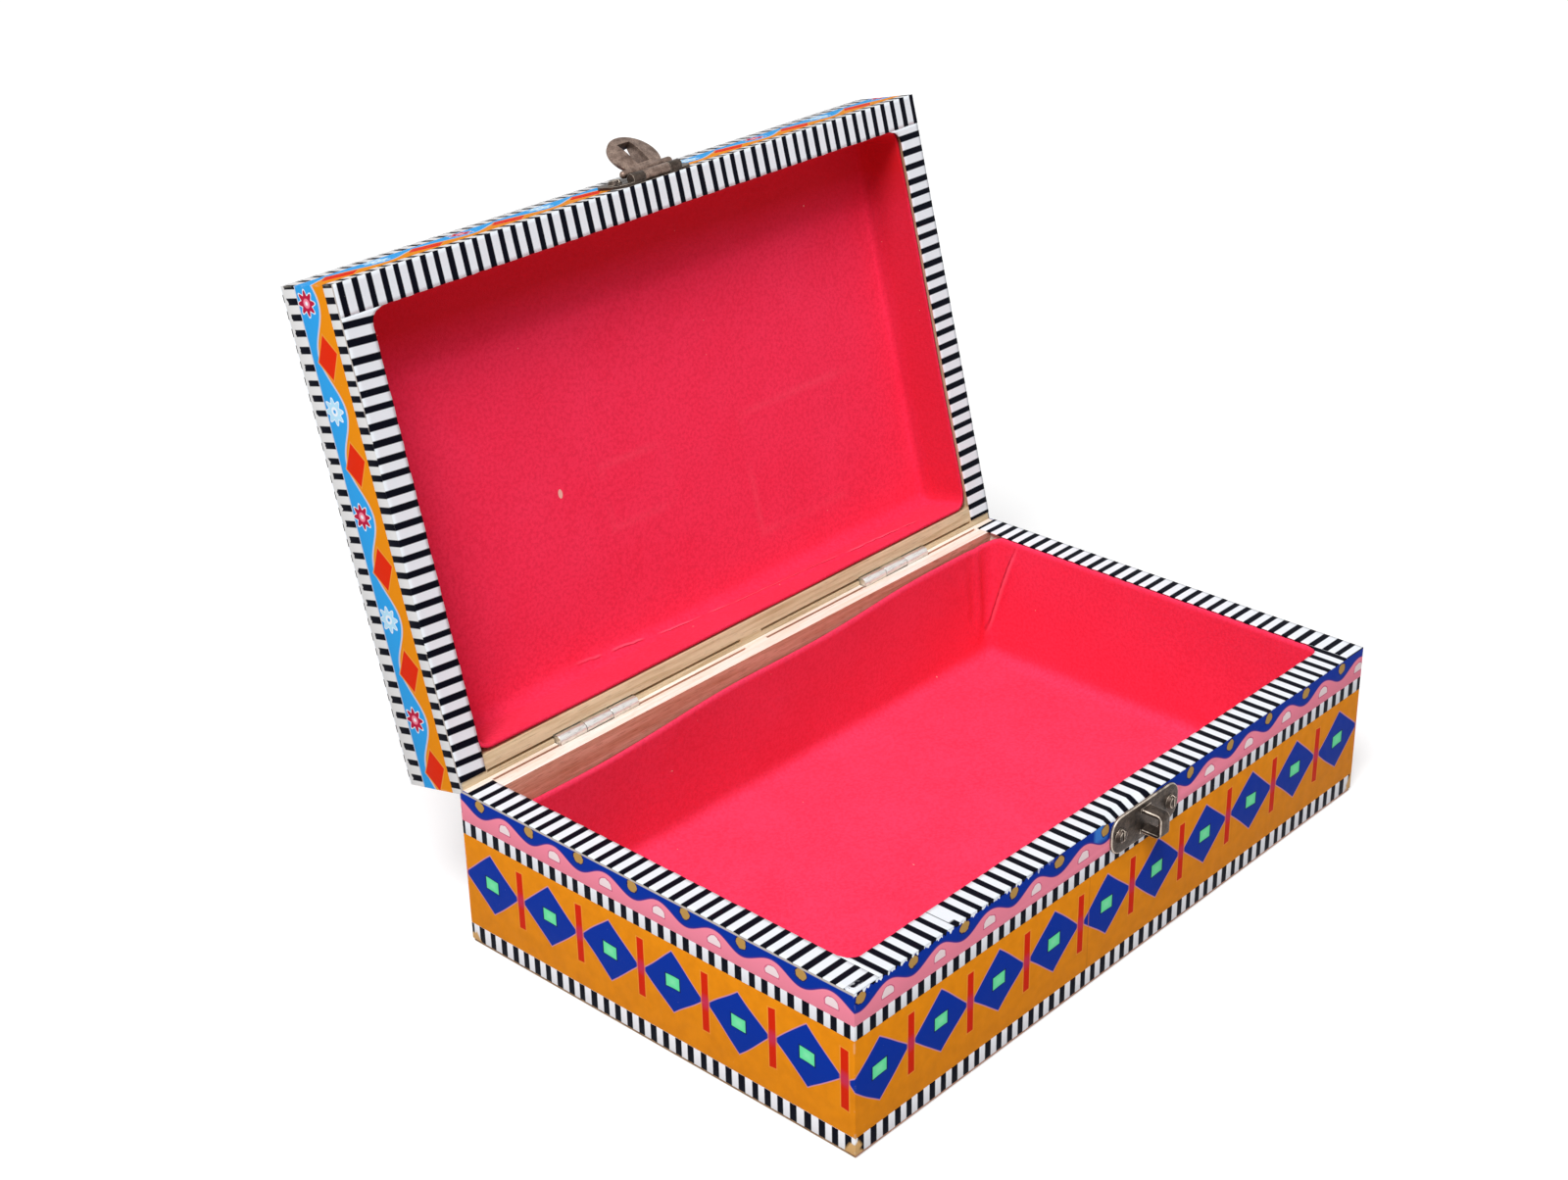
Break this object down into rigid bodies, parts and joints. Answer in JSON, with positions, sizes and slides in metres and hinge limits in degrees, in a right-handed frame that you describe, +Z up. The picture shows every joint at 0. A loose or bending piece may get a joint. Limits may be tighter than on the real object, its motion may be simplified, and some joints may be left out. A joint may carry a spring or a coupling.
{
  "type": "decorative storage box",
  "caption": "Small hinged wooden box covered in printed paper bands with striped rims and a red felt lining; the lid swings open and a hasp drops over a staple to shut it.",
  "frame": {"origin": "middle of the underside of the base", "axes": "+X to the right along the front, +Y to the rear where the hinges are, +Z up; the lid is stored open"},
  "size_m": [0.203, 0.182, 0.172],
  "materials": {
    "wood": "bare sawn softwood",
    "printed_paper": "printed paper in orange, blue and pink, satin",
    "dashed_paper": "paper printed with black and white dashes",
    "striped_paper": "paper printed with black and white stripes",
    "felt": "red felt, matt with a soft nap",
    "hinge_steel": "plated steel, slightly dull",
    "brad_steel": "plain steel",
    "latch_bronze": "antique bronze, darkened with worn bright edges"
  },
  "bodies": {
    "base": {"base_back_wall": "wood", "base_corner_brads": "brad_steel", "base_diamond_strip": "printed_paper", "base_floor_brads": "brad_steel", "base_floor_panel": "wood", "base_front_wall": "wood", "base_left_wall": "wood", "base_lining": "felt", "base_lower_dash_strip": "dashed_paper", "base_right_wall": "wood", "base_rim_strip_front": "striped_paper", "base_rim_strip_left": "striped_paper", "base_rim_strip_right": "striped_paper", "base_upper_dash_strip": "dashed_paper", "base_wave_strip": "printed_paper", "catch_plate": "latch_bronze", "catch_screws": "latch_bronze", "left_hinge_base_leaf": "hinge_steel", "left_hinge_pin": "hinge_steel", "right_hinge_base_leaf": "hinge_steel", "right_hinge_pin": "hinge_steel"},
    "lid": {"hasp_pin": "latch_bronze", "hasp_plate": "latch_bronze", "hasp_plate_screws": "latch_bronze", "left_hinge_lid_leaf": "hinge_steel", "lid_back_wall": "wood", "lid_corner_brads": "brad_steel", "lid_flower_strip": "printed_paper", "lid_front_wall": "wood", "lid_left_wall": "wood", "lid_lining": "felt", "lid_panel_brads": "brad_steel", "lid_right_wall": "wood", "lid_rim_dash_strip": "dashed_paper", "lid_rim_strip_front": "striped_paper", "lid_rim_strip_left": "striped_paper", "lid_rim_strip_right": "striped_paper", "lid_top_dash_strip": "dashed_paper", "lid_top_panel": "wood", "lid_top_sheet": "printed_paper", "right_hinge_lid_leaf": "hinge_steel"},
    "hasp": {"hasp": "latch_bronze"}
  },
  "joints": [
    {"name": "lid_hinge", "type": "hinge", "parent": "base", "child": "lid", "pos_m": [0, 0.0616, 0.044], "axis": [-1, 0, 0], "range_deg": [-104, 0]},
    {"name": "hasp_swing", "type": "hinge", "parent": "lid", "child": "hasp", "pos_m": [0.0025, 0.09395, 0.16589], "axis": [-1, 0, 0], "range_deg": [-140, 0]}
  ]
}
